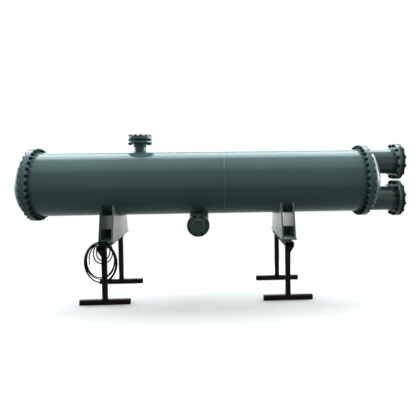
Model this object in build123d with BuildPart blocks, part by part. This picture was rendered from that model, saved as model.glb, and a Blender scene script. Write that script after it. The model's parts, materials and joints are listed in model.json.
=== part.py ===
import os
from math import asin, cos, sin, sqrt

from build123d import *

# Vessel: +X runs along the shell to the channel, -Y faces the front, Z is up from the floor
axis_height = 1440
shell_bore = 800
shell_wall = 8
shell_left = -2240
shell_length = 4176
weld_from_left = 2383
weld_width = 14
weld_proud = 2

# Girth joints at both ends of the shell
girth_flange_od = 930
girth_bolt_circle = 885
girth_bolt_count = 32
girth_hole = 26
tubesheet_thickness = 28
girth_gasket_thickness = 3
cover_flange_thickness = 28
head_wall = 10
head_skirt = 25
head_dish = 152

# Channel nozzles, one above the other on the right-hand head
nozzle_od = 325
nozzle_wall = 8
nozzle_offset = 243
nozzle_reach = 410
nozzle_flange_od = 472
nozzle_bolt_circle = 422
nozzle_bolt_count = 12
nozzle_hole = 26
nozzle_flange_thickness = 27
nozzle_gasket_od = 385
nozzle_gasket_thickness = 4
nozzle_blind_thickness = 40

# Top nozzle with a welding neck
top_from_left = 1298
top_pipe_od = 159
top_pipe_wall = 7
top_hub_od = 186
top_hub_height = 60
top_flange_od = 318
top_bolt_circle = 270
top_bolt_count = 12
top_hole = 22
top_flange_thickness = 26
top_flange_above_shell = 140
top_spacer_od = 216
top_spacer_thickness = 22
top_blind_thickness = 46

# Drain sump under the shell with a nozzle towards the front
drain_from_left = 2051
sump_od = 245
sump_wall = 8
sump_height = 210
sump_cap_depth = 45
drain_below_shell = 112
drain_pipe_od = 168
drain_pipe_wall = 7
drain_reach = 292
drain_flange_od = 280
drain_bolt_circle = 240
drain_bolt_count = 8
drain_hole = 22
drain_flange_thickness = 28
drain_gasket_od = 212
drain_gasket_thickness = 3
drain_blind_thickness = 26
drain_ring_od = 146
drain_ring_width = 18
drain_ring_height = 8

# Saddles, whose height runs from the vessel's axis to the base plate's underside
saddle_height = 700
saddle_from_left = (940, 3164)
wear_plate_width = 270
wear_plate_thickness = 10
wear_plate_angle = 120
web_thickness = 20
web_spread = 172
web_top_half = 338
web_inset = 13
base_plate_width = 184
base_plate_length = 944
base_plate_thickness = 14
rib_thickness = 12
rib_height = 90

# Workshop stands, of square and rectangular tube, each a little left of its saddle's middle
stand_offset = -20
tube_size = 60
tube_wall = 4
tube_corner = 8
beam_width = 104
beam_length = 1082
arm_length = 118
foot_length = 604
brace_thickness = 10
brace_from_arm_end = 18
brace_drop = 92

# Cable hung over the left stand's front arm in a coil, with small loops behind it and a lug at each end
coil_width = 392
coil_inner_width = 300
coil_above_beam = 30
coil_drop = 456
coil_inner_drop = 388
coil_depth = 56
coil_from_arm_end = 6
loops_width = 226
loops_inner_width = 184
loops_above_beam = 26
loops_drop = 228
loops_inner_drop = 170
loops_depth = 21
lug_length = 70
lug_width = 24
lug_thickness = 6
lug_behind_loops = 16
cable_clearance = 0.3

# Derived places
shell_radius = shell_bore / 2 + shell_wall
shell_right = shell_left + shell_length
weld_x = shell_left + weld_from_left
left_gasket_x = shell_left - tubesheet_thickness
left_flange_x = left_gasket_x - girth_gasket_thickness
left_head_x = left_flange_x - cover_flange_thickness
right_gasket_x = shell_right + tubesheet_thickness
channel_flange_x = right_gasket_x + girth_gasket_thickness
channel_head_x = channel_flange_x + cover_flange_thickness
nozzle_flange_x = channel_head_x + nozzle_reach
nozzle_gasket_x = nozzle_flange_x + nozzle_flange_thickness
nozzle_blind_x = nozzle_gasket_x + nozzle_gasket_thickness
top_x = shell_left + top_from_left
top_flange_z = axis_height + shell_radius + top_flange_above_shell - top_flange_thickness
drain_x = shell_left + drain_from_left
drain_z = axis_height - shell_radius - drain_below_shell
saddle_radius = shell_radius + wear_plate_thickness
saddle_x = [shell_left + start for start in saddle_from_left]
stand_x = [x + stand_offset for x in saddle_x]
web_centre = (web_spread - web_thickness) / 2
web_base_half = base_plate_length / 2 - web_inset
stand_height = axis_height - saddle_height
post_top = stand_height - tube_size
post_y = (beam_length - arm_length - tube_size) / 2
post_face_y = -post_y - tube_size / 2
arm_end_y = post_face_y - arm_length
axis_y = arm_length / 2
brace_reach = arm_length - brace_from_arm_end
drain_flange_y = -drain_reach
drain_gasket_y = drain_flange_y - drain_flange_thickness
drain_blind_y = drain_gasket_y - drain_gasket_thickness
vessel_axis = Axis((0, 0, axis_height), (1, 0, 0))
lengthwise = Plane(origin=(0, 0, axis_height), x_dir=(1, 0, 0), z_dir=(0, -1, 0))


def across(x, z=axis_height):
    return Plane(origin=(x, 0, z), x_dir=(0, 1, 0), z_dir=(1, 0, 0))


def facing_front(x, y, z):
    return Plane(origin=(x, y, z), x_dir=(1, 0, 0), z_dir=(0, -1, 0))


def ring(plane, outer, inner, thickness, holes=None):
    # A flat ring or disc; holes gives the bolt circle, the count and the hole size
    with BuildPart() as piece:
        with BuildSketch(plane):
            Circle(outer / 2)
            if inner:
                Circle(inner / 2, mode=Mode.SUBTRACT)
            if holes:
                bolt_circle, count, hole = holes
                with PolarLocations(bolt_circle / 2, count, start_angle=180 / count):
                    Circle(hole / 2, mode=Mode.SUBTRACT)
        extrude(amount=thickness)
    return piece


def dished_head(face_x):
    # A half ellipsoid on a short skirt, which bulges to the right from the flange face
    inside = shell_radius - head_wall
    inside_dish = head_dish - head_wall
    rim_x = face_x + head_skirt
    with BuildPart() as piece:
        with BuildSketch(lengthwise):
            with BuildLine():
                EllipticalCenterArc((rim_x, 0), head_dish, shell_radius, 0, arc_size=90)
                EllipticalCenterArc((rim_x, 0), inside_dish, inside, 0, arc_size=90)
                Line((rim_x + head_dish, 0), (rim_x + inside_dish, 0))
                Polyline(
                    (rim_x, shell_radius), (face_x, shell_radius), (face_x, inside), (rim_x, inside)
                )
            make_face()
        revolve(axis=vessel_axis)
    return piece


def tube(plane, width, height, length):
    # A rectangular hollow section with round corners, along the plane's normal
    with BuildPart() as piece:
        with BuildSketch(plane):
            RectangleRounded(width, height, tube_corner)
            RectangleRounded(
                width - 2 * tube_wall,
                height - 2 * tube_wall,
                tube_corner - tube_wall,
                mode=Mode.SUBTRACT,
            )
        extrude(amount=length)
    return piece


pieces = {}

# Shell courses, with the openings for the top nozzle and the sump
with BuildPart() as shell_left_course:
    with BuildSketch(across(shell_left)):
        Circle(shell_radius)
        Circle(shell_bore / 2, mode=Mode.SUBTRACT)
    extrude(amount=weld_from_left - weld_width / 2)
    with BuildSketch(Plane.XY.offset(axis_height)):
        with Locations((top_x, 0)):
            Circle(top_pipe_od / 2)
    extrude(amount=shell_radius, mode=Mode.SUBTRACT)
    with BuildSketch(Plane.XY.offset(axis_height)):
        with Locations((drain_x, 0)):
            Circle(sump_od / 2)
    extrude(amount=-shell_radius, mode=Mode.SUBTRACT)
pieces["shell_left_course"] = shell_left_course
pieces["shell_right_course"] = ring(
    across(weld_x + weld_width / 2),
    2 * shell_radius,
    shell_bore,
    shell_right - weld_x - weld_width / 2,
)
pieces["girth_weld"] = ring(
    across(weld_x - weld_width / 2), 2 * (shell_radius + weld_proud), shell_bore, weld_width
)

# Girth joints
girth_holes = (girth_bolt_circle, girth_bolt_count, girth_hole)
girth_gasket_od = girth_bolt_circle - girth_hole
pieces["left_tubesheet"] = ring(
    across(left_gasket_x), girth_flange_od, 0, tubesheet_thickness, girth_holes
)
pieces["left_gasket"] = ring(
    across(left_flange_x), girth_gasket_od, shell_bore, girth_gasket_thickness
)
pieces["left_cover_flange"] = ring(
    across(left_head_x), girth_flange_od, shell_bore, cover_flange_thickness, girth_holes
)
right_hand_cover = dished_head(-left_head_x)
with BuildPart() as left_cover:
    mirror(right_hand_cover.part, about=Plane.YZ)
pieces["left_dished_cover"] = left_cover
pieces["right_tubesheet"] = ring(
    across(shell_right), girth_flange_od, 0, tubesheet_thickness, girth_holes
)
pieces["right_gasket"] = ring(
    across(right_gasket_x), girth_gasket_od, shell_bore, girth_gasket_thickness
)
pieces["channel_flange"] = ring(
    across(channel_flange_x), girth_flange_od, shell_bore, cover_flange_thickness, girth_holes
)

# Channel head and its two nozzles
nozzle_start_x = channel_head_x + head_skirt
nozzle_heights = {
    "upper": axis_height + nozzle_offset,
    "lower": axis_height - nozzle_offset,
}
plain_head = dished_head(channel_head_x)
with BuildPart() as channel_head:
    add(plain_head.part)
    for height in nozzle_heights.values():
        with BuildSketch(across(nozzle_start_x, height)):
            Circle(nozzle_od / 2)
        extrude(amount=head_dish, mode=Mode.SUBTRACT)
pieces["channel_head"] = channel_head
nozzle_holes = (nozzle_bolt_circle, nozzle_bolt_count, nozzle_hole)
for place, height in nozzle_heights.items():
    pieces[f"{place}_nozzle_pipe"] = ring(
        across(nozzle_start_x, height),
        nozzle_od,
        nozzle_od - 2 * nozzle_wall,
        nozzle_gasket_x - nozzle_start_x,
    )
    pieces[f"{place}_nozzle_flange"] = ring(
        across(nozzle_flange_x, height),
        nozzle_flange_od,
        nozzle_od,
        nozzle_flange_thickness,
        nozzle_holes,
    )
    pieces[f"{place}_nozzle_gasket"] = ring(
        across(nozzle_gasket_x, height),
        nozzle_gasket_od,
        nozzle_od - 2 * nozzle_wall,
        nozzle_gasket_thickness,
    )
    pieces[f"{place}_nozzle_blind"] = ring(
        across(nozzle_blind_x, height),
        nozzle_flange_od,
        0,
        nozzle_blind_thickness,
        nozzle_holes,
    )

# Top nozzle: pipe, hub and flange turned as one welding neck
top_pipe_radius = top_pipe_od / 2
top_bore_radius = top_pipe_radius - top_pipe_wall
top_pipe_start = axis_height + sqrt((shell_bore / 2) ** 2 - top_pipe_radius**2)
top_flange_top = top_flange_z + top_flange_thickness
hub_start = top_flange_z - top_hub_height
top_plane = Plane(origin=(top_x, 0, 0), x_dir=(1, 0, 0), z_dir=(0, -1, 0))
with BuildPart() as top_nozzle_neck:
    with BuildSketch(top_plane):
        with BuildLine():
            Polyline(
                (top_bore_radius, top_pipe_start),
                (top_pipe_radius, top_pipe_start),
                (top_pipe_radius, hub_start),
                (top_hub_od / 2, top_flange_z),
                (top_flange_od / 2, top_flange_z),
                (top_flange_od / 2, top_flange_top),
                (top_bore_radius, top_flange_top),
                close=True,
            )
        make_face()
    revolve(axis=Axis((top_x, 0, 0), (0, 0, 1)))
    with BuildSketch(Plane(origin=(top_x, 0, top_flange_z))):
        with PolarLocations(top_bolt_circle / 2, top_bolt_count, start_angle=180 / top_bolt_count):
            Circle(top_hole / 2)
    extrude(amount=top_flange_thickness, mode=Mode.SUBTRACT)
pieces["top_nozzle_neck"] = top_nozzle_neck
pieces["top_nozzle_spacer"] = ring(
    Plane(origin=(top_x, 0, top_flange_top)),
    top_spacer_od,
    2 * top_bore_radius,
    top_spacer_thickness,
)
pieces["top_nozzle_blind"] = ring(
    Plane(origin=(top_x, 0, top_flange_top + top_spacer_thickness)),
    top_flange_od,
    0,
    top_blind_thickness,
    (top_bolt_circle, top_bolt_count, top_hole),
)

# Drain sump with its cap, side pipe, flange and blind
sump_bottom = axis_height - shell_radius - sump_height
sump_top = axis_height - sqrt((shell_bore / 2) ** 2 - (sump_od / 2) ** 2)
with BuildPart() as drain_sump:
    with BuildSketch(Plane(origin=(drain_x, 0, sump_bottom))):
        Circle(sump_od / 2)
        Circle(sump_od / 2 - sump_wall, mode=Mode.SUBTRACT)
    extrude(amount=sump_top - sump_bottom)
    with BuildSketch(facing_front(drain_x, 0, drain_z)):
        Circle(drain_pipe_od / 2)
    extrude(amount=sump_od, mode=Mode.SUBTRACT)
pieces["drain_sump"] = drain_sump

cap_radius = ((sump_od / 2) ** 2 + sump_cap_depth**2) / (2 * sump_cap_depth)
cap_half = asin(sump_od / 2 / cap_radius) / 2
cap_centre = sump_bottom - sump_cap_depth + cap_radius
cap_mid = (cap_radius * sin(cap_half), cap_centre - cap_radius * cos(cap_half))
with BuildPart() as drain_sump_cap:
    with BuildSketch(Plane(origin=(drain_x, 0, 0), x_dir=(1, 0, 0), z_dir=(0, -1, 0))):
        with BuildLine():
            Line((0, sump_bottom), (sump_od / 2, sump_bottom))
            ThreePointArc((sump_od / 2, sump_bottom), cap_mid, (0, sump_bottom - sump_cap_depth))
            Line((0, sump_bottom - sump_cap_depth), (0, sump_bottom))
        make_face()
    revolve(axis=Axis((drain_x, 0, 0), (0, 0, 1)))
pieces["drain_sump_cap"] = drain_sump_cap

drain_pipe_start = sqrt((sump_od / 2 - sump_wall) ** 2 - (drain_pipe_od / 2) ** 2)
pieces["drain_pipe"] = ring(
    facing_front(drain_x, -drain_pipe_start, drain_z),
    drain_pipe_od,
    drain_pipe_od - 2 * drain_pipe_wall,
    drain_reach + drain_flange_thickness - drain_pipe_start,
)
drain_holes = (drain_bolt_circle, drain_bolt_count, drain_hole)
pieces["drain_flange"] = ring(
    facing_front(drain_x, drain_flange_y, drain_z),
    drain_flange_od,
    drain_pipe_od,
    drain_flange_thickness,
    drain_holes,
)
pieces["drain_gasket"] = ring(
    facing_front(drain_x, drain_gasket_y, drain_z),
    drain_gasket_od,
    drain_pipe_od - 2 * drain_pipe_wall,
    drain_gasket_thickness,
)
plain_blind = ring(
    facing_front(drain_x, drain_blind_y, drain_z),
    drain_flange_od,
    0,
    drain_blind_thickness,
    drain_holes,
)
with BuildPart() as drain_blind:
    add(plain_blind.part)
    with BuildSketch(facing_front(drain_x, drain_blind_y - drain_blind_thickness, drain_z)):
        Circle(drain_ring_od / 2)
        Circle(drain_ring_od / 2 - drain_ring_width, mode=Mode.SUBTRACT)
    extrude(amount=drain_ring_height)
pieces["drain_blind"] = drain_blind

# Saddles: wear plate, two webs, a middle rib and a base plate each
base_top = stand_height + base_plate_thickness
web_top_z = -sqrt(saddle_radius**2 - web_top_half**2)
web_foot_z = base_top - axis_height


def wear_plate(x):
    with BuildPart() as piece:
        with BuildSketch(across(x - wear_plate_width / 2)):
            with BuildLine():
                outer = CenterArc((0, 0), saddle_radius, -90 - wear_plate_angle / 2, wear_plate_angle)
                inner = CenterArc((0, 0), shell_radius, -90 - wear_plate_angle / 2, wear_plate_angle)
                Line(outer @ 0, inner @ 0)
                Line(outer @ 1, inner @ 1)
            make_face()
        extrude(amount=wear_plate_width)
    return piece


def web(x):
    with BuildPart() as piece:
        with BuildSketch(across(x - web_thickness / 2)):
            with BuildLine():
                ThreePointArc(
                    (-web_top_half, web_top_z), (0, -saddle_radius), (web_top_half, web_top_z)
                )
                Polyline(
                    (web_top_half, web_top_z),
                    (web_base_half, web_foot_z),
                    (-web_base_half, web_foot_z),
                    (-web_top_half, web_top_z),
                )
            make_face()
        extrude(amount=web_thickness)
    return piece


def middle_rib(x):
    rib_width = web_spread - 2 * web_thickness
    with BuildPart() as piece:
        with BuildSketch(Plane(origin=(x, 0, base_top))):
            Rectangle(rib_width, rib_thickness)
        extrude(amount=rib_height)
    return piece


def base_plate(x):
    with BuildPart() as piece:
        with BuildSketch(Plane(origin=(x, 0, stand_height))):
            Rectangle(base_plate_width, base_plate_length)
        extrude(amount=base_plate_thickness)
    return piece


for side, x in zip(("left", "right"), saddle_x):
    pieces[f"{side}_wear_plate"] = wear_plate(x)
    pieces[f"{side}_saddle_web_a"] = web(x - web_centre)
    pieces[f"{side}_saddle_web_b"] = web(x + web_centre)
    pieces[f"{side}_saddle_rib"] = middle_rib(x)
    pieces[f"{side}_base_plate"] = base_plate(x)


# Stands: beam under the base plate with an arm out to the front, two posts, two feet and a knee brace each
def post(x, y):
    return tube(Plane(origin=(x, y, tube_size)), tube_size, tube_size, post_top - tube_size)


def foot(x, y):
    start = Plane(
        origin=(x - foot_length / 2, y, tube_size / 2), x_dir=(0, 1, 0), z_dir=(1, 0, 0)
    )
    return tube(start, tube_size, tube_size, foot_length)


def knee_brace(x):
    # A flat strap from the front post's face up to the arm's underside,
    # as wide as the arm at its top and as the post at its foot
    rise = brace_thickness * brace_drop / brace_reach
    with BuildPart() as piece:
        with BuildSketch(across(x - beam_width / 2, post_top)):
            with BuildLine():
                Polyline(
                    (post_face_y, -brace_drop),
                    (post_face_y, rise - brace_drop),
                    (post_face_y - brace_reach + brace_thickness, 0),
                    (post_face_y - brace_reach, 0),
                    close=True,
                )
            make_face()
        extrude(amount=beam_width)
        with BuildSketch(facing_front(x, post_face_y, post_top)):
            with BuildLine():
                Polyline(
                    (-tube_size / 2, -brace_drop),
                    (tube_size / 2, -brace_drop),
                    (beam_width / 2, 0),
                    (-beam_width / 2, 0),
                    close=True,
                )
            make_face()
        extrude(amount=arm_length, mode=Mode.INTERSECT)
    return piece


for side, x in zip(("left", "right"), stand_x):
    pieces[f"{side}_stand_beam"] = tube(
        facing_front(x, arm_end_y + beam_length, stand_height - tube_size / 2),
        beam_width,
        tube_size,
        beam_length,
    )
    for end, way in (("front", -1), ("back", 1)):
        pieces[f"{side}_stand_{end}_post"] = post(x, way * post_y)
        pieces[f"{side}_stand_{end}_foot"] = foot(x, way * post_y)
    pieces[f"{side}_stand_front_brace"] = knee_brace(x)

# Cable coil and small loops as plain rings, with the lug they start from and the lug on the free end
coil_front_y = arm_end_y + coil_from_arm_end
coil_back_y = coil_front_y + coil_depth
loops_back_y = coil_back_y + cable_clearance + loops_depth
coil_x = stand_x[0]
corner_inset = tube_corner * (1 - sqrt(0.5))
seat_half = beam_width / 2 - corner_inset
seat_z = stand_height - corner_inset + 2 * cable_clearance


def hole_rise(inner_width, inner_drop):
    # Half the height of a hole whose upper side rests on the arm's two rounded corners
    share = sqrt(1 - (2 * seat_half / inner_width) ** 2)
    return (seat_z - stand_height + inner_drop) / (1 + share)


def hung_ring(width, inner_width, above, drop, inner_drop, back_y, depth):
    # An upright elliptical ring that hangs on the arm, with its back face at back_y
    outer_rise = (above + drop) / 2
    inner_rise = hole_rise(inner_width, inner_drop)
    with BuildPart() as piece:
        with BuildSketch(facing_front(coil_x, back_y, stand_height)):
            with Locations((0, outer_rise - drop)):
                Ellipse(width / 2, outer_rise)
            with Locations((0, inner_rise - inner_drop)):
                Ellipse(inner_width / 2, inner_rise, mode=Mode.SUBTRACT)
        extrude(amount=depth)
    return piece


pieces["cable_coil"] = hung_ring(
    coil_width, coil_inner_width, coil_above_beam, coil_drop, coil_inner_drop, coil_back_y, coil_depth
)
pieces["cable_small_loops"] = hung_ring(
    loops_width, loops_inner_width, loops_above_beam, loops_drop, loops_inner_drop, loops_back_y, loops_depth
)

lug_back_y = loops_back_y + lug_behind_loops + lug_length
lug_x = coil_x - (beam_width + lug_thickness) / 2
with BuildPart() as cable_start_lug:
    with BuildSketch(facing_front(lug_x, lug_back_y, stand_height - tube_size / 2)):
        Rectangle(lug_thickness, lug_width)
    extrude(amount=lug_length)
pieces["cable_start_lug"] = cable_start_lug

coil_hole_rise = hole_rise(coil_inner_width, coil_inner_drop)
coil_hole_z = stand_height - coil_inner_drop + coil_hole_rise
end_share = sqrt(1 - (lug_length / 2 / coil_hole_rise) ** 2)
end_lug_x = coil_x - coil_inner_width / 2 * end_share + cable_clearance + lug_thickness / 2
end_lug_y = (coil_front_y + coil_back_y) / 2
with BuildPart() as cable_end_lug:
    with BuildSketch(Plane(origin=(end_lug_x, end_lug_y, coil_hole_z - lug_length / 2))):
        Rectangle(lug_thickness, lug_width)
    extrude(amount=lug_length)
pieces["cable_end_lug"] = cable_end_lug

# The arms stand out to the front only, so the vessel's axis goes back for the origin to lie in the middle
os.makedirs("parts", exist_ok=True)
for name, piece in pieces.items():
    placed = piece.part.moved(Location((0, axis_y, 0)))
    placed.label = name
    export_step(placed, f"parts/{name}.step")
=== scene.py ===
import json
import math

import bmesh
import bpy
import numpy as np
from mathutils import Matrix, Vector


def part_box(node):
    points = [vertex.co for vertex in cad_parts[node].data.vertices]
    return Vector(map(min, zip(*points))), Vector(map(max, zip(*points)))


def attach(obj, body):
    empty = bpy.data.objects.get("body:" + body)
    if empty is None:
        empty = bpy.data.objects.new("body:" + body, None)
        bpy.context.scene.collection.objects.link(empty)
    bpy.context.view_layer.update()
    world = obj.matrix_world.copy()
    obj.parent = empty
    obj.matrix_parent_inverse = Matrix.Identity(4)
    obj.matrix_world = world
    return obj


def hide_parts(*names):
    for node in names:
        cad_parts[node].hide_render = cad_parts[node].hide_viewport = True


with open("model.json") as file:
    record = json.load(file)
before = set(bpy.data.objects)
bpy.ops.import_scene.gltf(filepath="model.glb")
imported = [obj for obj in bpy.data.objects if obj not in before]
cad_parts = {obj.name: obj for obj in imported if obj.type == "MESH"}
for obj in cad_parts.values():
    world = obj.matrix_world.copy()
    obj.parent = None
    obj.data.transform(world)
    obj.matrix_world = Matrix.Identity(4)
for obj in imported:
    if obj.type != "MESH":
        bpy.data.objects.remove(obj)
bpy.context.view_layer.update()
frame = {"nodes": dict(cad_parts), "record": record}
cadNodes = frame["nodes"]
print("frame loaded:", len(cadNodes), "nodes")


# mesh helpers

def gridFaces(rows, cols, wrapRows=False, wrapCols=False):
    # quads of a rows by cols grid of points, numbered row by row; a wrapped side joins back to the start
    i = np.arange(rows if wrapRows else rows - 1)[:, None]
    j = np.arange(cols if wrapCols else cols - 1)[None, :]
    iNext, jNext = (i + 1) % rows, (j + 1) % cols
    corners = [i * cols + j, i * cols + jNext, iNext * cols + jNext, iNext * cols + j]
    return np.stack([np.broadcast_to(c, (i.size, j.size)).ravel() for c in corners], axis=1)


def copies(shape, origins, frames):
    # one joined mesh of a shape set at many places: each point p goes to origin + frame times p
    verts, faceSets = shape
    placed = origins[:, None, :] + np.einsum("nij,vj->nvi", frames, verts)
    steps = np.arange(len(origins))[:, None, None] * len(verts)
    return placed.reshape(-1, 3), [(f[None] + steps).reshape(-1, f.shape[1]) for f in faceSets]


def joined(shapes):
    # several shapes as one, with the later ones' face numbers moved up
    verts, faceSets, start = [], [], 0
    for shapeVerts, shapeFaces in shapes:
        verts.append(shapeVerts)
        faceSets += [f + start for f in shapeFaces]
        start += len(shapeVerts)
    return np.concatenate(verts), faceSets


def makePiece(name, shape, material, smooth=True, run=None):
    # puts the arrays into a mesh, turns the faces outwards and makes the piece ride on the fixed body;
    # run, where given, is each vertex's distance along its bead or stud and is kept as an attribute
    verts, faceSets = shape
    mesh = bpy.data.meshes.new(name)
    sizes = np.concatenate([np.full(len(f), f.shape[1]) for f in faceSets])
    loops = np.concatenate([f.ravel() for f in faceSets])
    mesh.vertices.add(len(verts))
    mesh.vertices.foreach_set("co", np.asarray(verts, dtype=np.float32).ravel())
    mesh.loops.add(len(loops))
    mesh.loops.foreach_set("vertex_index", loops.astype(np.int32))
    mesh.polygons.add(len(sizes))
    mesh.polygons.foreach_set("loop_start", (np.cumsum(sizes) - sizes).astype(np.int32))
    mesh.polygons.foreach_set("loop_total", sizes.astype(np.int32))
    mesh.polygons.foreach_set("use_smooth", np.full(len(sizes), smooth))
    if run is not None:
        kept = mesh.attributes.new("run", "FLOAT", "POINT")
        kept.data.foreach_set("value", np.asarray(run, dtype=np.float32))
    mesh.update(calc_edges=True)
    work = bmesh.new()
    work.from_mesh(mesh)
    bmesh.ops.recalc_face_normals(work, faces=work.faces)
    work.to_mesh(mesh)
    work.free()
    mesh.materials.append(material)
    piece = bpy.data.objects.new(name, mesh)
    bpy.context.scene.collection.objects.link(piece)
    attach(piece, "root")
    return piece


# material helpers

def newMaterial(name):
    material = bpy.data.materials.new(name)
    material.use_nodes = True
    tree = material.node_tree
    shader = next(n for n in tree.nodes if n.type == "BSDF_PRINCIPLED")
    return material, tree, shader


def setSocket(tree, socket, value):
    if isinstance(value, bpy.types.NodeSocket):
        tree.links.new(value, socket)
    else:
        socket.default_value = value


def addNode(tree, kind, sockets=None, **settings):
    # a node with its settings, and its sockets either linked or set
    node = tree.nodes.new("ShaderNode" + kind)
    for key, value in settings.items():
        setattr(node, key, value)
    for key, value in (sockets or {}).items():
        setSocket(tree, node.inputs[key], value)
    return node


def objectPlace(tree, scale=(1, 1, 1)):
    coords = addNode(tree, "TexCoord")
    return addNode(tree, "Mapping", {"Vector": coords.outputs["Object"], "Scale": scale}).outputs[0]


def noise(tree, place, scale, detail=3.0, rough=0.55):
    sockets = {"Vector": place, "Scale": scale, "Detail": detail, "Roughness": rough}
    return addNode(tree, "TexNoise", sockets).outputs[0]


def ramp(tree, value, low, high, toLow=0.0, toHigh=1.0):
    return addNode(
        tree, "MapRange",
        {"Value": value, "From Min": low, "From Max": high, "To Min": toLow, "To Max": toHigh},
        interpolation_type="SMOOTHSTEP",
    ).outputs[0]


def maths(tree, kind, a, b=0.0):
    return addNode(tree, "Math", {0: a, 1: b}, operation=kind).outputs[0]


def blendColour(tree, share, a, b):
    node = addNode(tree, "Mix", {0: share}, data_type="RGBA")
    setSocket(tree, node.inputs[6], a)
    setSocket(tree, node.inputs[7], b)
    return node.outputs[2]


def bump(tree, height, strength, normal=None):
    # heights are in metres, so the distance stays at 1
    node = addNode(tree, "Bump", {"Height": height, "Strength": strength, "Distance": 1.0})
    if normal is not None:
        tree.links.new(normal, node.inputs["Normal"])
    return node.outputs[0]


def threadRun(tree):
    # the distance along a bead or stud, as makePiece keeps it
    return addNode(tree, "Attribute", attribute_name="run").outputs["Fac"]


def edgeMask(tree, radius):
    # how far the rounded normal leaves the face's own, which is more than nothing only beside an edge
    rounded = addNode(tree, "Bevel", {"Radius": radius}, samples=4)
    geometry = addNode(tree, "NewGeometry")
    facing = addNode(
        tree, "VectorMath", {0: rounded.outputs[0], 1: geometry.outputs["Normal"]}, operation="DOT_PRODUCT"
    ).outputs["Value"]
    return maths(tree, "SUBTRACT", 1.0, facing), rounded.outputs[0]


def upward(tree):
    geometry = addNode(tree, "NewGeometry")
    return addNode(tree, "SeparateXYZ", {0: geometry.outputs["Normal"]}).outputs["Z"]


# vessel enamel

saddleMarks = {
    "mids": (-1.300, 0.924),    # each saddle's middle along X
    "inside": (0.078, 0.084),    # how far from it the painted sheen starts to thin inwards, as painted shade between the webs
    # share of the painted sheen kept between the webs; the rest is taken away as painted shade
    "sheenKeptInShade": 0.35,
    # rusty spots on the front edges of two webs, each with its radius
    "rust": (((-1.217, -0.377, 0.846), 0.018), ((0.846, -0.377, 0.846), 0.018)),
}

enamel = {
    "deep": (0.050, 0.100, 0.092, 1),
    "body": (0.060, 0.114, 0.105, 1),
    "dust": (0.13, 0.17, 0.16, 1),
    "scuffAndEdgeLight": (0.13, 0.20, 0.18, 1),
    "rust": (0.105, 0.056, 0.024, 1),
    "gloss": 0.25,
    "roughLow": 0.175,
    "roughHigh": 0.245,
    "edge": 0.004,
    "paintedSheen": (0.47, 0.375, 0.32, 1),    # painted reflection: the pale colour on the saddles' faces that look along X
    "flangeGlint": (0.17, 0.28, 0.27, 1),    # painted reflection: the pale colour on the flange faces that look along X
    # how much of dust, scuff and rust is mixed in at most
    "streaks": 0.04, "settled": 0.05, "rubbed": 0.75, "rusted": 0.85,
    # noise scale and height in metres, and the height of a bead's ripples
    "peel": (420.0, 0.00002), "unevenness": (2.0, 0.0004), "ripple": 0.0012,
}


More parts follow.
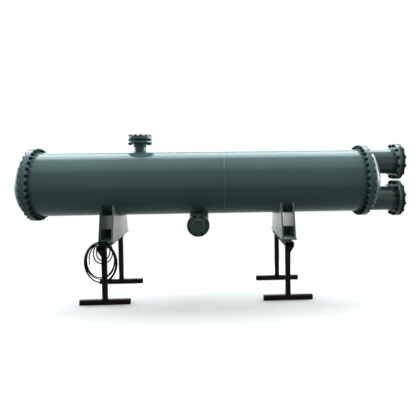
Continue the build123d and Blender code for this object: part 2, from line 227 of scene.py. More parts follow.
def enamelMaterial(
    name, tone=1.0, gloss=enamel["gloss"], paintedSheen=0.0, sheenColour="paintedSheen", patchy=0.0, duller=0.0,
    edgeRadius=enamel["edge"], ripplePitch=None, rustSpots=(),
):
    # dark teal enamel: drifting tone, run-down streaks, dust on upper faces, rubbed edges (edge wear, and in
    # part a painted edge highlight), orange peel, and where asked a painted reflection, a pale colour on the
    # faces that look along X that is thinned between the saddle webs as painted shade, ripples across a bead or
    # spots of rust;
    # patchy takes parts of it back to the plain tone and duller adds to the roughness
    material, tree, shader = newMaterial(name)
    place = objectPlace(tree)
    drift = noise(tree, place, 0.6, 1.0)
    streak = noise(tree, objectPlace(tree, (9, 9, 0.7)), 1.0, 3.0)
    deep, body = (tuple(tone * c for c in enamel[k][:3]) + (1,) for k in ("deep", "body"))
    colour = blendColour(tree, ramp(tree, drift, 0.35, 0.68), deep, body)
    if patchy:
        plain = ramp(tree, noise(tree, place, 5.0, 3.0), 0.38, 0.58, 0.0, patchy)
        colour = blendColour(tree, plain, colour, enamel["deep"])
    streaks = ramp(tree, streak, 0.35, 0.90, 0.0, enamel["streaks"])
    colour = blendColour(tree, streaks, colour, enamel["dust"])
    level = ramp(tree, upward(tree), 0.6, 1.0, 0.0, enamel["settled"])
    settled = maths(tree, "MULTIPLY", level, ramp(tree, noise(tree, place, 7.0), 0.38, 0.66))
    colour = blendColour(tree, settled, colour, enamel["dust"])
    # rubbed edges, lighter: edge wear, and in part a painted edge highlight
    edge, rounded = edgeMask(tree, edgeRadius)
    beside = ramp(tree, edge, 0.02, 0.16, 0.0, enamel["rubbed"])
    rubbed = maths(tree, "MULTIPLY", beside, ramp(tree, noise(tree, place, 26.0), 0.42, 0.62))
    colour = blendColour(tree, rubbed, colour, enamel["scuffAndEdgeLight"])
    for spot, radius in rustSpots:
        coords = addNode(tree, "TexCoord").outputs["Object"]
        away = addNode(tree, "VectorMath", {0: coords, 1: spot}, operation="DISTANCE").outputs["Value"]
        ragged = maths(tree, "ADD", away, maths(tree, "MULTIPLY", noise(tree, place, 60.0), radius))
        rusted = ramp(tree, ragged, radius * 1.2, radius * 1.7, enamel["rusted"], 0.0)
        colour = blendColour(tree, rusted, colour, enamel["rust"])
    if paintedSheen:
        # painted reflection: faces that look along X take the pale colour, broken into patches
        normal = addNode(tree, "SeparateXYZ", {0: addNode(tree, "NewGeometry").outputs["Normal"]})
        sideways = ramp(tree, maths(tree, "ABSOLUTE", normal.outputs["X"]), 0.6, 0.95, 0.0, paintedSheen)
        sheenPatches = ramp(tree, noise(tree, objectPlace(tree, (1, 1, 0.4)), 6.0, 4.0), 0.25, 0.75, 0.6, 1.0)
        # less of it between the webs, as painted shade, by the distance from the middle of the nearer saddle
        along = addNode(tree, "SeparateXYZ", {0: addNode(tree, "TexCoord").outputs["Object"]}).outputs["X"]
        offsets = [maths(tree, "ABSOLUTE", maths(tree, "SUBTRACT", along, x)) for x in saddleMarks["mids"]]
        nearest = maths(tree, "MINIMUM", *offsets)
        webShade = ramp(tree, nearest, *saddleMarks["inside"], saddleMarks["sheenKeptInShade"], 1.0)
        sheenPatches = maths(tree, "MULTIPLY", sheenPatches, webShade)
        colour = blendColour(tree, maths(tree, "MULTIPLY", sideways, sheenPatches), colour, enamel[sheenColour])
    tree.links.new(colour, shader.inputs["Base Color"])
    roughLimits = (enamel["roughLow"] + duller, enamel["roughHigh"] + duller)
    rough = ramp(tree, noise(tree, place, 1.2, 1.0), 0.2, 0.8, *roughLimits)
    rough = maths(tree, "ADD", rough, maths(tree, "MULTIPLY", settled, 0.3))
    tree.links.new(rough, shader.inputs["Roughness"])
    (peelScale, peelHeight), (wideScale, wideHeight) = enamel["peel"], enamel["unevenness"]
    height = maths(tree, "MULTIPLY", noise(tree, place, peelScale, 1.0), peelHeight)
    wide = maths(tree, "MULTIPLY", noise(tree, place, wideScale, 0.0), wideHeight)
    height = maths(tree, "ADD", height, wide)
    if ripplePitch:
        turn = maths(tree, "MULTIPLY", threadRun(tree), math.pi / ripplePitch)
        wave = maths(tree, "ABSOLUTE", maths(tree, "SINE", turn))
        height = maths(tree, "ADD", height, maths(tree, "MULTIPLY", wave, enamel["ripple"]))
    tree.links.new(bump(tree, height, 0.6, rounded), shader.inputs["Normal"])
    shader.inputs["Specular IOR Level"].default_value = gloss
    return material


vesselEnamel = enamelMaterial("vesselEnamel")
weldEnamel = enamelMaterial("weldEnamel", ripplePitch=0.007)
darkEnamel = enamelMaterial("darkEnamel", tone=0.30, gloss=0.08)
# painted shade: a darker copy of the enamel for the drain cover, which faces the dark front
shadedCoverEnamel = enamelMaterial("shadedCoverEnamel", tone=0.55)
# painted shade: a darker copy of the enamel for the lower nozzle flange
shadedFlangeEnamel = enamelMaterial("shadedFlangeEnamel", tone=0.62, gloss=0.5)
# painted glint: the upper nozzle flange alone is a darker copy of the enamel with the pale colour on its faces
# that look along X
glintEnamel = enamelMaterial("glintEnamel", tone=0.62, gloss=0.5, paintedSheen=1.0, sheenColour="flangeGlint")
# painted shade: a darker copy of the enamel for the nozzle pipes
shadedPipeEnamel = enamelMaterial("shadedPipeEnamel", tone=0.80, gloss=0.35)
# painted light: lighter copies of the enamel for the channel head and the dished cover, for their lit crescents
litHeadEnamel = enamelMaterial("litHeadEnamel", tone=1.1, gloss=0.8, duller=0.12)
litDomeEnamel = enamelMaterial("litDomeEnamel", tone=1.35, gloss=0.15, duller=0.12)
# painted reflection: the flange rims take the pale colour on their faces that look along X, and a wider pale
# edge band as a painted edge highlight
glintRimEnamel = enamelMaterial("glintRimEnamel", tone=0.95, gloss=0.2, paintedSheen=0.8, sheenColour="flangeGlint", edgeRadius=0.010)
# painted highlight: the girth seam is a much lighter copy of the enamel, in patches
highlitSeamEnamel = enamelMaterial("highlitSeamEnamel", tone=2.4, patchy=0.75)
# painted highlight: a lighter copy of the enamel for the drain cover's ridge
highlitRidgeEnamel = enamelMaterial("highlitRidgeEnamel", tone=1.8, gloss=0.5)
saddleEnamel = enamelMaterial("saddleEnamel", tone=1.25, gloss=0.5, paintedSheen=0.55, rustSpots=saddleMarks["rust"])
shadedEnamel = enamelMaterial("shadedEnamel", tone=0.8, gloss=0.03, paintedSheen=0.55)


# stand paint, gasket sheet, bolting, cable

standPaint = {
    "black": (0.0075, 0.0042, 0.0042, 1),
    "brown": (0.0190, 0.0095, 0.0090, 1),
    "rust": (0.085, 0.034, 0.017, 1),
    "rubbed": (0.055, 0.042, 0.038, 1),
    "roughness": (0.42, 0.68),
    "gloss": 0.12,
    "edge": 0.003,
}


def standMaterial():
    # brush-painted black with brown breaking through, rubbed corners and rusty specks
    material, tree, shader = newMaterial("standBlack")
    place = objectPlace(tree)
    through = ramp(tree, noise(tree, place, 6.0, 5.0), 0.4, 0.7)
    colour = blendColour(tree, through, standPaint["black"], standPaint["brown"])
    specks = ramp(tree, noise(tree, place, 55.0, 4.0), 0.66, 0.74, 0.0, 0.7)
    colour = blendColour(tree, specks, colour, standPaint["rust"])
    edge, rounded = edgeMask(tree, standPaint["edge"])
    beside = ramp(tree, edge, 0.03, 0.2, 0.0, 0.8)
    rubbed = maths(tree, "MULTIPLY", beside, ramp(tree, noise(tree, place, 30.0), 0.45, 0.6))
    colour = blendColour(tree, rubbed, colour, standPaint["rubbed"])
    tree.links.new(colour, shader.inputs["Base Color"])
    rough = ramp(tree, noise(tree, place, 14.0, 4.0), 0.3, 0.7, *standPaint["roughness"])
    tree.links.new(rough, shader.inputs["Roughness"])
    height = maths(tree, "MULTIPLY", noise(tree, objectPlace(tree, (1, 1, 0.25)), 160.0, 3.0), 0.0003)
    tree.links.new(bump(tree, height, 0.5, rounded), shader.inputs["Normal"])
    shader.inputs["Specular IOR Level"].default_value = standPaint["gloss"]
    return material


gasketLook = {"dark": (0.006, 0.006, 0.006, 1), "pale": (0.022, 0.021, 0.020, 1), "roughness": (0.75, 0.92)}


def gasketMaterial():
    # dark fibre sheet with a coarse grain on its cut edge
    material, tree, shader = newMaterial("gasketSheet")
    grain = noise(tree, objectPlace(tree), 240.0, 3.0)
    colour = blendColour(tree, grain, gasketLook["dark"], gasketLook["pale"])
    tree.links.new(colour, shader.inputs["Base Color"])
    tree.links.new(ramp(tree, grain, 0.3, 0.7, *gasketLook["roughness"]), shader.inputs["Roughness"])
    tree.links.new(bump(tree, maths(tree, "MULTIPLY", grain, 0.0004), 0.6), shader.inputs["Normal"])
    return material


boltLook = {
    "dark": (0.0012, 0.0055, 0.0052, 1),
    "pale": (0.003, 0.0115, 0.0108, 1),
    "rubbed": (0.025, 0.048, 0.045, 1),
    "roughness": (0.36, 0.58),
    "gloss": 0.16,
    "edge": 0.0016,
    "thread": 0.0006,
}


def boltMaterial(name, threadPitch=None):
    # black oiled steel: mottled tone, brighter rubbed corners, and thread rings on the studs
    material, tree, shader = newMaterial(name)
    place = objectPlace(tree)
    mottle = noise(tree, place, 70.0, 4.0)
    colour = blendColour(tree, ramp(tree, mottle, 0.35, 0.7), boltLook["dark"], boltLook["pale"])
    edge, rounded = edgeMask(tree, boltLook["edge"])
    colour = blendColour(tree, ramp(tree, edge, 0.05, 0.3, 0.0, 0.35), colour, boltLook["rubbed"])
    tree.links.new(colour, shader.inputs["Base Color"])
    tree.links.new(ramp(tree, mottle, 0.3, 0.7, *boltLook["roughness"]), shader.inputs["Roughness"])
    height = maths(tree, "MULTIPLY", noise(tree, place, 320.0, 2.0), 0.0002)
    if threadPitch:
        wave = maths(tree, "SINE", maths(tree, "MULTIPLY", threadRun(tree), 2 * math.pi / threadPitch))
        height = maths(tree, "ADD", height, maths(tree, "MULTIPLY", wave, boltLook["thread"]))
    tree.links.new(bump(tree, height, 0.7, rounded), shader.inputs["Normal"])
    shader.inputs["Specular IOR Level"].default_value = boltLook["gloss"]
    return material


cableLook = {
    "black": (0.0026, 0.0024, 0.0024, 1),
    "dust": (0.008, 0.0072, 0.007, 1),
    "dusty": 0.55,
    "roughness": (0.62, 0.84),
    "gloss": 0.06,
}


def cableMaterial():
    # dull black rubber sheath with dusty scuffs
    material, tree, shader = newMaterial("cableSheath")
    place = objectPlace(tree)
    dust = ramp(tree, noise(tree, place, 45.0, 4.0), 0.52, 0.72, 0.0, cableLook["dusty"])
    colour = blendColour(tree, dust, cableLook["black"], cableLook["dust"])
    tree.links.new(colour, shader.inputs["Base Color"])
    rough = ramp(tree, dust, 0.0, cableLook["dusty"], *cableLook["roughness"])
    tree.links.new(rough, shader.inputs["Roughness"])
    height = maths(tree, "MULTIPLY", noise(tree, place, 420.0, 2.0), 0.0002)
    tree.links.new(bump(tree, height, 0.5), shader.inputs["Normal"])
    shader.inputs["Specular IOR Level"].default_value = cableLook["gloss"]
    return material


lugLook = {
    "dull": (0.22, 0.19, 0.16, 1),
    "bright": (0.50, 0.47, 0.43, 1),
    "roughness": (0.32, 0.55),
    "metallic": 0.9,
}


def lugMaterial():
    # tinned copper with dull patches and a brushed line
    material, tree, shader = newMaterial("lugTin")
    patch = noise(tree, objectPlace(tree), 110.0, 4.0)
    line = noise(tree, objectPlace(tree, (1, 1, 14)), 160.0, 2.0)
    colour = blendColour(tree, ramp(tree, patch, 0.35, 0.7), lugLook["dull"], lugLook["bright"])
    tree.links.new(colour, shader.inputs["Base Color"])
    tree.links.new(ramp(tree, line, 0.3, 0.7, *lugLook["roughness"]), shader.inputs["Roughness"])
    tree.links.new(bump(tree, maths(tree, "MULTIPLY", line, 0.0002), 0.5), shader.inputs["Normal"])
    shader.inputs["Metallic"].default_value = lugLook["metallic"]
    return material


standBlack = standMaterial()
gasketSheet = gasketMaterial()
nutSteel = boltMaterial("nutSteel")
studSteel = boltMaterial("studSteel", threadPitch=0.003)
cableSheath = cableMaterial()
lugTin = lugMaterial()

slotLooks = {
    "vessel_paint": vesselEnamel,
    "gasket": gasketSheet,
    "stand_black": standBlack,
    "cable_rubber": cableSheath,
    "lug_metal": lugTin,
}
slotOf = {row["node"]: row["material_slot"] for row in frame["record"]["subparts"]}

# nodes with a look of their own; the rest take the saddles' or their slot's
nodeLooks = {
    "girth_weld": highlitSeamEnamel,
    "drain_blind": shadedCoverEnamel,
    "left_dished_cover": litDomeEnamel,
    "channel_head": litHeadEnamel,
    "left_saddle_web_a": shadedEnamel,
    "upper_nozzle_flange": glintEnamel,
    "lower_nozzle_flange": shadedFlangeEnamel,
}
for place in ("upper", "lower"):
    nodeLooks[f"{place}_nozzle_pipe"] = shadedPipeEnamel
    nodeLooks[f"{place}_nozzle_blind"] = darkEnamel
for nodeName in ("left_tubesheet", "left_cover_flange", "right_tubesheet", "channel_flange",
                 "top_nozzle_neck", "top_nozzle_blind"):
    nodeLooks[nodeName] = glintRimEnamel


def dressNode(name, material):
    mesh = cadNodes[name].data
    mesh.materials.clear()
    mesh.materials.append(material)


for nodeName in cadNodes:
    onSaddle = "saddle" in nodeName or "base_plate" in nodeName
    usual = saddleEnamel if onSaddle else slotLooks[slotOf[nodeName]]
    dressNode(nodeName, nodeLooks.get(nodeName, usual))
print("solids dressed")


# places read from the frame

def low(node):
    return np.array(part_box(node)[0])


def high(node):
    return np.array(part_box(node)[1])


shellRadius = (high("shell_left_course") - low("shell_left_course"))[2] / 2
axisY, axisZ = (low("shell_left_course") + high("shell_left_course"))[1:] / 2
vesselMid = np.array([0.0, axisY, axisZ])
alongX, alongY, alongZ = np.eye(3)

# sizes that the boxes of the solids don't show
hidden = {
    "topFlangeThick": 0.026, "drainBlindThick": 0.026, "headSkirt": 0.025, "wearPlateThick": 0.010,
    "webHalfWidth": 0.336, "neckRadius": 0.0795, "sumpRadius": 0.1225, "drainPipeRadius": 0.084,
}


# studs and nuts

boltSizes = {
    # circle: the bolt circle's diameter; stud: its radius; flats: the nut's width;
    # outer and inner: the nut's or head's height, and how far the stud stands out of it
    "girth": {"circle": 0.885, "count": 32, "stud": 0.0120, "flats": 0.041,
              "outer": (0.0185, 0.004), "inner": (0.0250, 0.013)},
    "nozzle": {"circle": 0.422, "count": 12, "stud": 0.0120, "flats": 0.041,
               "outer": (0.0170, 0.002), "inner": (0.0250, 0.010)},
    "top": {"circle": 0.270, "count": 12, "stud": 0.0100, "flats": 0.030,
            "outer": (0.0125, -0.001), "inner": (0.0180, 0.007)},
    "drain": {"circle": 0.240, "count": 8, "stud": 0.0100, "flats": 0.030,
              "outer": (0.0160, 0.002), "inner": (0.0160, 0.004)},
}


def nutShape(flats, height, bore):
    # radius at angle a is the hexagon's, half the flats over cos(a within a sixth turn), cut to a circle
    # at the chamfered rows; twelve points round by six rows, closed through the bore
    sides = 12
    angle = np.arange(sides) * 2 * math.pi / sides
    inSixth = (angle + math.pi / 6) % (math.pi / 3) - math.pi / 6
    hexagon = flats / 2 / np.cos(inSixth)
    chamfer = 0.97 * flats / 2
    limit = np.array([chamfer, np.inf, np.inf, chamfer, bore, bore])
    rise = np.array([0.0, 0.06, 0.88, 1.0, 1.0, 0.0]) * height
    radius = np.minimum(hexagon[None], limit[:, None])
    heights = np.repeat(rise[:, None], sides, 1)
    verts = np.stack([radius * np.cos(angle), radius * np.sin(angle), heights], -1)
    return verts.reshape(-1, 3), [gridFaces(len(rise), sides, wrapRows=True, wrapCols=True)]


def studShape(radius, start, end):
    # a ten-sided rod with both ends chamfered, capped by two flat faces
    sides = 10
    angle = np.arange(sides) * 2 * math.pi / sides
    cut = radius * 0.3
    radii = np.array([radius - cut, radius, radius, radius - cut])
    rise = np.array([start, start + cut, end - cut, end])
    heights = np.repeat(rise[:, None], sides, 1)
    verts = np.stack([np.outer(radii, np.cos(angle)), np.outer(radii, np.sin(angle)), heights], -1)
    caps = np.stack([np.arange(sides)[::-1], np.arange(sides) + 3 * sides])
    return verts.reshape(-1, 3), [gridFaces(len(rise), sides, wrapCols=True), caps]


def turned(sideA, sideB, axis, twist):
    # frames whose third direction is the axis, with the two sides turned about it by each twist
    a = np.cos(twist)[:, None] * sideA + np.sin(twist)[:, None] * sideB
    b = -np.sin(twist)[:, None] * sideA + np.cos(twist)[:, None] * sideB
    return np.stack([a, b, np.broadcast_to(axis, a.shape)], axis=-1)


def boltCircle(name, size, middle, sideA, sideB, axis, lowFace, highFace):
    # studs on a circle through two faces, with a nut on each face; the faces are distances along the axis;
    # nuts turn by the golden angle and studs shift by a sine of their number, so no two neighbours sit alike
    dims = boltSizes[size]
    number = np.arange(dims["count"])
    angle = (number + 0.5) * 2 * math.pi / dims["count"]
    outward = np.cos(angle)[:, None] * sideA + np.sin(angle)[:, None] * sideB
    places = middle + dims["circle"] / 2 * outward
    twist = number * 2.399
    uneven = 0.0008 * np.sin(number * 1.7)
    stud = studShape(dims["stud"], lowFace - sum(dims["inner"]), highFace + sum(dims["outer"]))
    studs = copies(stud, places + uneven[:, None] * axis, turned(sideA, sideB, axis, twist))
    run = np.tile(stud[0][:, 2], dims["count"])
    outerNut, innerNut = (nutShape(dims["flats"], dims[k][0], dims["stud"]) for k in ("outer", "inner"))
    outer = copies(outerNut, places + highFace * axis, turned(sideA, sideB, axis, twist))
    inner = copies(innerNut, places + lowFace * axis, turned(sideB, sideA, -axis, twist + 0.8))
    makePiece(name + "Studs", studs, studSteel, smooth=False, run=run)
    makePiece(name + "Nuts", joined([outer, inner]), nutSteel, smooth=False)


boltCircle("leftGirth", "girth", vesselMid, alongZ, alongY, -alongX,
           -high("left_tubesheet")[0], -low("left_cover_flange")[0])
boltCircle("rightGirth", "girth", vesselMid, alongY, alongZ, alongX,
           low("right_tubesheet")[0], high("channel_flange")[0])
for place in ("upper", "lower"):
    lowest, highest = low(f"{place}_nozzle_flange"), high(f"{place}_nozzle_blind")
    middle = np.array([0, axisY, (lowest[2] + highest[2]) / 2])
    boltCircle(f"{place}Nozzle", "nozzle", middle, alongY, alongZ, alongX, lowest[0], highest[0])

topLow, topHigh = low("top_nozzle_blind"), high("top_nozzle_blind")
topMid = np.array([(topLow[0] + topHigh[0]) / 2, axisY, 0])
topFlangeBack = low("top_nozzle_spacer")[2] - hidden["topFlangeThick"]
boltCircle("topNozzle", "top", topMid, alongX, alongY, alongZ, topFlangeBack, topHigh[2])

drainLow, drainHigh = low("drain_flange"), high("drain_flange")
drainMid = np.array([(drainLow[0] + drainHigh[0]) / 2, 0, (drainLow[2] + drainHigh[2]) / 2])
drainFace = -high("drain_blind")[1] + hidden["drainBlindThick"]
boltCircle("drainNozzle", "drain", drainMid, alongX, alongZ, -alongY, -drainHigh[1], drainFace)
print("studs and nuts set")


# ridge round the drain cover's raised ring, in a lighter enamel as a painted highlight

coverRidge = {"radius": 0.0775, "thick": 0.0050}


def ringShape(middle, sideA, sideB, axis, radius, thick, count=96, around=10):
    # a round ring: a circle whose radius is the thickness, carried round the axis at the radius
    angle, turn = (np.arange(n) * 2 * math.pi / n for n in (count, around))
    outward = np.cos(angle)[:, None] * sideA + np.sin(angle)[:, None] * sideB
    reach = radius + thick * np.cos(turn)
    rise = thick * np.sin(turn)
    verts = middle + reach[None, :, None] * outward[:, None] + rise[None, :, None] * axis
    return verts.reshape(-1, 3), [gridFaces(count, around, wrapRows=True, wrapCols=True)]


coverFace = drainMid - drainFace * alongY
ridge = ringShape(coverFace, alongX, alongZ, alongY, coverRidge["radius"], coverRidge["thick"])
makePiece("drainCoverRidge", ridge, highlitRidgeEnamel)
print("drain cover ridged")


# weld beads

bead = {
    # leg lengths
    "girth": 0.011, "nozzle": 0.010, "drain": 0.008, "saddle": 0.007, "stand": 0.005,
    "across": 6,    # points from leg to leg
    "middle": 0.62,    # reach between the legs, as a share of theirs
    "inset": 0.004,    # how far a straight bead stops short of a plate's end
    "wearPlateHalfAngle": math.radians(60),
}


def beadShape(path, legA, legB, size, closed=True):
    # a fillet carried along a path: at each path point the face swings from leg A to leg B at a reach that
    # is full at both legs and falls to the middle share by |cos(2 swing)|; one more point closes it at the root
    swing = np.linspace(0, math.pi / 2, bead["across"])
    ways = np.cos(swing)[None, :, None] * legA[:, None] + np.sin(swing)[None, :, None] * legB[:, None]
    reach = bead["middle"] + (1 - bead["middle"]) * np.abs(np.cos(2 * swing))
    face = path[:, None] + size * reach[None, :, None] * ways
    root = path[:, None] - 0.1 * size * (legA + legB)[:, None]
    verts = np.concatenate([face, root], axis=1)
    count, cols = verts.shape[:2]
    faceSets = [gridFaces(count, cols, wrapRows=closed, wrapCols=True)]
    if not closed:
        ends = np.arange(cols)
        faceSets.append(np.stack([ends[::-1], ends + (count - 1) * cols]))
    steps = np.linalg.norm(np.diff(path, axis=0), axis=1)
    run = np.repeat(np.concatenate([[0], np.cumsum(steps)]), cols)
    return verts.reshape(-1, 3), faceSets, run


def beadPiece(name, beads, material=weldEnamel):
    shape = joined([(verts, faceSets) for verts, faceSets, run in beads])
    makePiece(name, shape, material, run=np.concatenate([run for verts, faceSets, run in beads]))


def unit(v):
    return v / np.linalg.norm(v, axis=-1, keepdims=True)


def circleBead(middle, sideA, sideB, radius, legAlong, size, count=160):
    # a round fillet: one leg along the pipe, the other outwards on the plate
    angle = np.arange(count) * 2 * math.pi / count
    outward = np.cos(angle)[:, None] * sideA + np.sin(angle)[:, None] * sideB
    return beadShape(middle + radius * outward, np.broadcast_to(legAlong, outward.shape), outward, size)


def branchBead(path, branchWay, outward, normal, size):
    # a fillet where a branch meets a curved wall: one leg along the branch, the other outwards on the wall
    onWall = unit(outward - np.sum(outward * normal, axis=-1, keepdims=True) * normal)
    return beadShape(path, np.broadcast_to(branchWay, path.shape), onWall, size)


roundAngle = np.arange(120) * 2 * math.pi / 120
cosines, sines = np.cos(roundAngle), np.sin(roundAngle)
zeros = np.zeros_like(roundAngle)

girthBeads = []
for x, way in ((high("left_tubesheet")[0], 1), (low("left_cover_flange")[0], -1),
               (low("right_tubesheet")[0], -1), (high("channel_flange")[0], 1)):
    middle = vesselMid + x * alongX
    girthBeads.append(circleBead(middle, alongY, alongZ, shellRadius, way * alongX, bead["girth"]))
beadPiece("girthFlangeWelds", girthBeads)

# each channel nozzle meets the dished head, an ellipsoid about the vessel's axis
headRim = high("channel_flange")[0] + hidden["headSkirt"]
headDish = high("channel_head")[0] - headRim
nozzleBeads = []
for place in ("upper", "lower"):
    pipeLow, pipeHigh = low(f"{place}_nozzle_pipe"), high(f"{place}_nozzle_pipe")
    radius = (pipeHigh - pipeLow)[2] / 2
    offset = (pipeHigh + pipeLow)[2] / 2 - axisZ
    y, z = radius * cosines, offset + radius * sines
    share = np.sqrt(np.maximum(1 - (y ** 2 + z ** 2) / shellRadius ** 2, 0))
    path = np.stack([headRim + headDish * share, axisY + y, axisZ + z], -1)
    normal = unit(np.stack([share / headDish, y / shellRadius ** 2, z / shellRadius ** 2], -1))
    outward = np.stack([zeros, cosines, sines], -1)
    nozzleBeads.append(branchBead(path, alongX, outward, normal, bead["nozzle"]))
    back = np.array([low(f"{place}_nozzle_flange")[0], axisY, axisZ + offset])
    nozzleBeads.append(circleBead(back, alongY, alongZ, radius, -alongX, bead["nozzle"], 96))
beadPiece("channelNozzleWelds", nozzleBeads)

# the top neck and the drain sump meet the round shell
branchBeads = []
for x, radius, way in ((topMid[0], hidden["neckRadius"], 1), (drainMid[0], hidden["sumpRadius"], -1)):
    y = radius * sines
    rise = way * np.sqrt(shellRadius ** 2 - y ** 2)
    path = np.stack([x + radius * cosines, axisY + y, axisZ + rise], -1)
    normal = np.stack([zeros, y, rise], -1) / shellRadius
    outward = np.stack([cosines, sines, zeros], -1)
    branchBeads.append(branchBead(path, way * alongZ, outward, normal, bead["nozzle"]))

# the drain's pipe meets the round sump, and its flange
x, z = hidden["drainPipeRadius"] * cosines, hidden["drainPipeRadius"] * sines
depth = -np.sqrt(hidden["sumpRadius"] ** 2 - x ** 2)
path = np.stack([drainMid[0] + x, axisY + depth, drainMid[2] + z], -1)
normal = np.stack([x, depth, zeros], -1) / hidden["sumpRadius"]
outward = np.stack([cosines, zeros, sines], -1)
branchBeads.append(branchBead(path, -alongY, outward, normal, bead["drain"]))
drainBack = drainMid + drainHigh[1] * alongY
branchBeads.append(circleBead(drainBack, alongX, alongZ, hidden["drainPipeRadius"], alongY, bead["drain"], 80))
beadPiece("branchWelds", branchBeads)


def arcBead(x, way, radius, halfAngle, count=64):
    # a fillet on the vessel's underside, along a circle about its axis: one leg along X, the other
    # away from the axis
    angle = np.linspace(-halfAngle, halfAngle, count)
    outward = np.stack([0 * angle, np.sin(angle), -np.cos(angle)], -1)
    path = vesselMid + x * alongX + radius * outward
    return beadShape(path, np.broadcast_to(way * alongX, path.shape), outward, bead["saddle"], closed=False)


def straightBead(x, yLow, yHigh, z, way, rise, size, count):
    # a fillet along Y beside a plate or post; one leg along X, the other up or down
    y = np.linspace(yLow + bead["inset"], yHigh - bead["inset"], count)
    path = np.stack([0 * y + x, y, 0 * y + z], -1)
    legs = [np.broadcast_to(leg, path.shape) for leg in (way * alongX, rise * alongZ)]
    return beadShape(path, *legs, size, closed=False)


plateRadius = shellRadius + hidden["wearPlateThick"]
webHalfAngle = math.asin(hidden["webHalfWidth"] / plateRadius)
for side in ("left", "right"):
    beads = []
    plateLow, plateHigh = low(f"{side}_wear_plate"), high(f"{side}_wear_plate")
    for x, way in ((plateLow[0], -1), (plateHigh[0], 1)):
        beads.append(arcBead(x, way, shellRadius, bead["wearPlateHalfAngle"]))
    baseTop = high(f"{side}_base_plate")[2]
    for web in ("a", "b"):
        webLow, webHigh = low(f"{side}_saddle_web_{web}"), high(f"{side}_saddle_web_{web}")
        for x, way in ((webLow[0], -1), (webHigh[0], 1)):
            beads.append(arcBead(x, way, plateRadius, webHalfAngle))
            beads.append(straightBead(x, webLow[1], webHigh[1], baseTop, way, 1, bead["saddle"], 48))
    beadPiece(f"{side}SaddleWelds", beads)

# each post's two side faces are welded to the foot below and the beam above
for side in ("left", "right"):
    beads = []
    for end in ("front", "back"):
        postLow, postHigh = low(f"{side}_stand_{end}_post"), high(f"{side}_stand_{end}_post")
        for z, rise in ((postLow[2], 1), (postHigh[2], -1)):
            for x, way in ((postLow[0], -1), (postHigh[0], 1)):
                beads.append(straightBead(x, postLow[1], postHigh[1], z, way, rise, bead["stand"], 16))
    beadPiece(f"{side}StandWelds", beads, standBlack)
print("weld beads laid")


# cable: two small loops behind, four large turns spiralling in towards the front, then the free end's lug

cable = {
    "diameter": 0.014,
    "length": 6.52,
    "arm": (-1.320, 0.059),   # where the route's x and y start from
    "exit": (-0.0615, -0.5003, 0.710),   # at the start lug's mouth
    "loops": (
        (-0.0615, -0.511, 0.710), (-0.0615, -0.527, 0.710), (-0.0615, -0.541, 0.702),
        (-0.0616, -0.549, 0.688), (-0.0618, -0.5495, 0.671), (-0.0620, -0.551, 0.648), (-0.060, -0.552, 0.614),
        (-0.045, -0.552, 0.578), (-0.008, -0.552, 0.557),
        (0.036, -0.550, 0.562), (0.068, -0.545, 0.586), (0.086, -0.537, 0.622), (0.090, -0.529, 0.662),
        (0.083, -0.5235, 0.702), (0.062, -0.5215, 0.745), (0.026, -0.5215, 0.770), (-0.014, -0.5215, 0.772),
        (-0.052, -0.5215, 0.757), (-0.082, -0.522, 0.724), (-0.100, -0.524, 0.680), (-0.107, -0.526, 0.632),
        (-0.099, -0.528, 0.580), (-0.070, -0.530, 0.537), (-0.020, -0.532, 0.514), (0.036, -0.533, 0.517),
        (0.082, -0.5325, 0.546), (0.110, -0.532, 0.590), (0.121, -0.5305, 0.640), (0.119, -0.530, 0.688),
        (0.099, -0.533, 0.735), (0.056, -0.5425, 0.7715),
    ),
    "turns": 4.24,
    "turnPoints": 18,
    "coilX": -0.012,
    # half widths, at the left and right of each turn
    "widths": (0.196, 0.186, 0.183, 0.177, 0.170, 0.168, 0.157, 0.158, 0.1325),
    "bottoms": (0.293, 0.303, 0.343, 0.359, 0.359),
    "tops": (0.7758, 0.7605, 0.7605, 0.7605, 0.7605),
    # how many turns are done, and the lane along the arm there
    "lanes": ((0, -0.5450), (0.3, -0.5454), (1, -0.5597), (1.3, -0.5601), (2, -0.5744), (2.3, -0.5748),
              (3, -0.5890), (3.25, -0.5892), (3.55, -0.5690), (3.8, -0.5448), (4.12, -0.5448), (4.23, -0.5666)),
    "end": ((-0.1445, -0.5668, 0.612), (-0.1445, -0.5664, 0.584)),   # into the end lug
}


def cablePoints():
    # small loops from listed points, then turns: x = width sin(angle), z between bottom and top by cos(angle),
    # with the width, bottom, top and lane changing evenly between their values, and grown by 1/cos(pi/n)
    # for n points a turn, since the curve cuts inside its points
    count = cable["turnPoints"]
    turn = np.arange(0, cable["turns"], 1 / count)
    whole = np.arange(len(cable["tops"]))
    width = np.interp(turn, 0.25 + 0.5 * np.arange(len(cable["widths"])), cable["widths"])
    bottom = np.interp(turn, whole + 0.5, cable["bottoms"])
    top = np.interp(turn, whole, cable["tops"])
    lane = np.interp(turn, *np.transpose(cable["lanes"]))
    grow = 1 / math.cos(math.pi / count)
    angle = 2 * math.pi * turn
    turns = np.stack([
        cable["coilX"] - width * grow * np.sin(angle),
        lane,
        (top + bottom) / 2 + (top - bottom) / 2 * grow * np.cos(angle),
    ], -1)
    points = np.concatenate([[cable["exit"]], cable["loops"], turns[:-1], cable["end"]])
    points[:, :2] += cable["arm"]
    return points


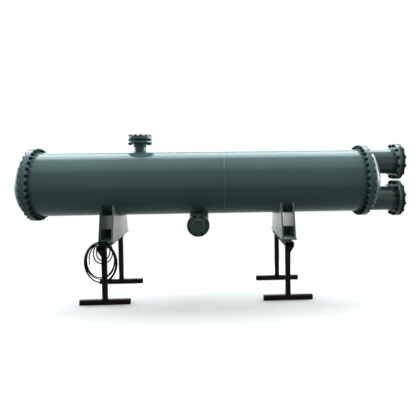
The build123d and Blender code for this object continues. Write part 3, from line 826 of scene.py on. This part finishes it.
def makeCable():
    points = cablePoints()
    curve = bpy.data.curves.new("cableCord", "CURVE")
    curve.dimensions = "3D"
    spline = curve.splines.new("NURBS")
    spline.points.add(len(points) - 1)
    weighted = np.column_stack([points, np.ones(len(points))])
    spline.points.foreach_set("co", weighted.astype(np.float32).ravel())
    spline.order_u = 3
    spline.use_endpoint_u = True
    spline.resolution_u = 6
    curve.bevel_depth = cable["diameter"] / 2
    curve.bevel_resolution = 3
    curve.use_fill_caps = True
    curve.materials.append(cableSheath)
    cord = bpy.data.objects.new("cableCord", curve)
    bpy.context.scene.collection.objects.link(cord)
    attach(cord, "root")
    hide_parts("cable_coil", "cable_small_loops")
    return cord, points


cableCord, cableRoute = makeCable()
print("cable hung")


# camera

view = {
    "place": (0.009, -5.470, 1.684),
    "yaw": 2.49, "pitch": 2.19, "roll": -0.72,
    # focal length, middle of the view and width of the picture, in pixels
    "focus": 419.7, "centre": (231.85, 179.42), "width": 420,
}


def makeCamera():
    yaw, pitch, roll = (math.radians(view[k]) for k in ("yaw", "pitch", "roll"))
    ahead = Vector((math.sin(yaw) * math.cos(pitch), math.cos(yaw) * math.cos(pitch), -math.sin(pitch)))
    right = Vector((math.cos(yaw), -math.sin(yaw), 0))
    up = right.cross(ahead)
    right, up = right * math.cos(roll) + up * math.sin(roll), up * math.cos(roll) - right * math.sin(roll)
    camera = bpy.data.cameras.new("photoCamera")
    camera.sensor_width = 36
    camera.lens = view["focus"] * camera.sensor_width / view["width"]
    camera.shift_x = 0.5 - view["centre"][0] / view["width"]
    camera.shift_y = view["centre"][1] / view["width"] - 0.5
    camera.clip_end = 200
    eye = bpy.data.objects.new("photoCamera", camera)
    bpy.context.scene.collection.objects.link(eye)
    turn = Matrix((right, up, -ahead)).transposed().to_4x4()
    eye.matrix_world = Matrix.Translation(view["place"]) @ turn
    bpy.context.scene.camera = eye


makeCamera()


# light, floor and white surroundings

light = {
    # each panel's power, size, place and aim
    "panels": {
        "frontPanel": (140, (10.0, 3.0), (0.0, -1.6, 5.2), (0.0, -0.9, 1.4)),
        "backPanel": (560, (10.0, 2.6), (0.0, 1.9, 5.0), (0.0, 0.8, 1.4)),
        "skyPanel": (1000, (28.0, 4.4), (0.0, 9.0, 3.9), (0.0, 0.0, 3.0)),
        "leftPanel": (760, (7.0, 4.4), (-7.0, 1.6, 3.4), (-2.2, 0.0, 1.6)),
        "rightPanel": (760, (7.0, 4.4), (7.0, 1.6, 3.4), (2.2, 0.0, 1.6)),
    },
    "tint": (0.84, 0.955, 1.0),
    "skyTop": 0.34, "skySide": 0.03,
}

ground = {
    "reach": 40.0,
    "seen": (0.70, 0.66, 0.64, 1), "bounce": (0.22, 0.212, 0.205, 1), "mottle": (0.5, 0.5, 0.5, 1),
    "squeeze": (0.55, 1, 1),    # the fades are wider along X, as the part is
    # where the floor starts and ends fading to white, for the camera and for reflections
    "fadeSeen": (1.0, 1.9), "fadeMirrored": (3.5, 7.0),
}


def areaLight(name, power, size, place, target):
    lamp = bpy.data.lights.new(name, "AREA")
    lamp.shape = "RECTANGLE"
    lamp.size, lamp.size_y = size
    lamp.energy = power
    lamp.color = light["tint"]
    holder = bpy.data.objects.new(name, lamp)
    holder.location = place
    holder.rotation_euler = (Vector(target) - Vector(place)).to_track_quat("-Z", "Y").to_euler()
    holder.visible_camera = False
    bpy.context.scene.collection.objects.link(holder)


def seenWhite(tree):
    # 1 for what the camera sees, straight or in a gloss or through glass
    path = addNode(tree, "LightPath")
    seen = maths(tree, "MAXIMUM", path.outputs["Is Camera Ray"], path.outputs["Is Glossy Ray"])
    return maths(tree, "MAXIMUM", seen, path.outputs["Is Transmission Ray"])


def makeSurroundings():
    world = bpy.data.worlds.new("studio")
    bpy.context.scene.world = world
    world.use_nodes = True
    tree = world.node_tree
    background = next(n for n in tree.nodes if n.type == "BACKGROUND")
    way = addNode(tree, "SeparateXYZ", {0: addNode(tree, "TexCoord").outputs["Generated"]}).outputs["Z"]
    level = ramp(tree, way, -0.1, 0.9, light["skySide"], light["skyTop"])
    level = maths(tree, "MAXIMUM", seenWhite(tree), level)
    tree.links.new(level, background.inputs["Strength"])
    background.inputs["Color"].default_value = (1, 1, 1, 1)


def makeFloor():
    # a disc at height zero whose radius grows by ring; it fades to plain white away from the object
    rings, sides = 24, 96
    radius = np.linspace(0.05, 1, rings) ** 1.5 * ground["reach"]
    angle = np.arange(sides) * 2 * math.pi / sides
    flat = np.zeros((rings, sides))
    verts = np.stack([np.outer(radius, np.cos(angle)), np.outer(radius, np.sin(angle)), flat], -1)
    faces = gridFaces(rings, sides, wrapCols=True).tolist() + [list(range(sides))]
    mesh = bpy.data.meshes.new("paleFloor")
    mesh.from_pydata(verts.reshape(-1, 3).tolist(), [], faces)
    floor = bpy.data.objects.new("paleFloor", mesh)
    bpy.context.scene.collection.objects.link(floor)
    material = bpy.data.materials.new("paleFloor")
    material.use_nodes = True
    tree = material.node_tree
    tree.nodes.clear()
    squeezed = objectPlace(tree, ground["squeeze"])
    away = addNode(tree, "VectorMath", {0: squeezed}, operation="LENGTH").outputs["Value"]
    path = addNode(tree, "LightPath").outputs
    mirrored = maths(tree, "MAXIMUM", path["Is Glossy Ray"], path["Is Transmission Ray"])
    near = maths(tree, "MULTIPLY", ramp(tree, away, *ground["fadeSeen"]), path["Is Camera Ray"])
    far = maths(tree, "MULTIPLY", ramp(tree, away, *ground["fadeMirrored"]), mirrored)
    fade = maths(tree, "MAXIMUM", near, far)
    tone = blendColour(tree, path["Is Camera Ray"], ground["bounce"], ground["seen"])
    place = addNode(tree, "TexCoord").outputs["Object"]
    mottle = ramp(tree, noise(tree, place, 2.0), 0.3, 0.7, 0.0, 0.03)
    tone = blendColour(tree, mottle, tone, ground["mottle"])
    matt = addNode(tree, "BsdfDiffuse", {"Color": tone}).outputs[0]
    white = addNode(tree, "Emission", {"Color": (1, 1, 1, 1), "Strength": 1.0}).outputs[0]
    mixed = addNode(tree, "MixShader", {0: fade, 1: matt, 2: white}).outputs[0]
    addNode(tree, "OutputMaterial", {"Surface": mixed})
    mesh.materials.append(material)


for name, settings in light["panels"].items():
    areaLight(name, *settings)
makeSurroundings()
makeFloor()
bpy.context.scene.view_settings.view_transform = "Standard"
print("camera, light and floor set")
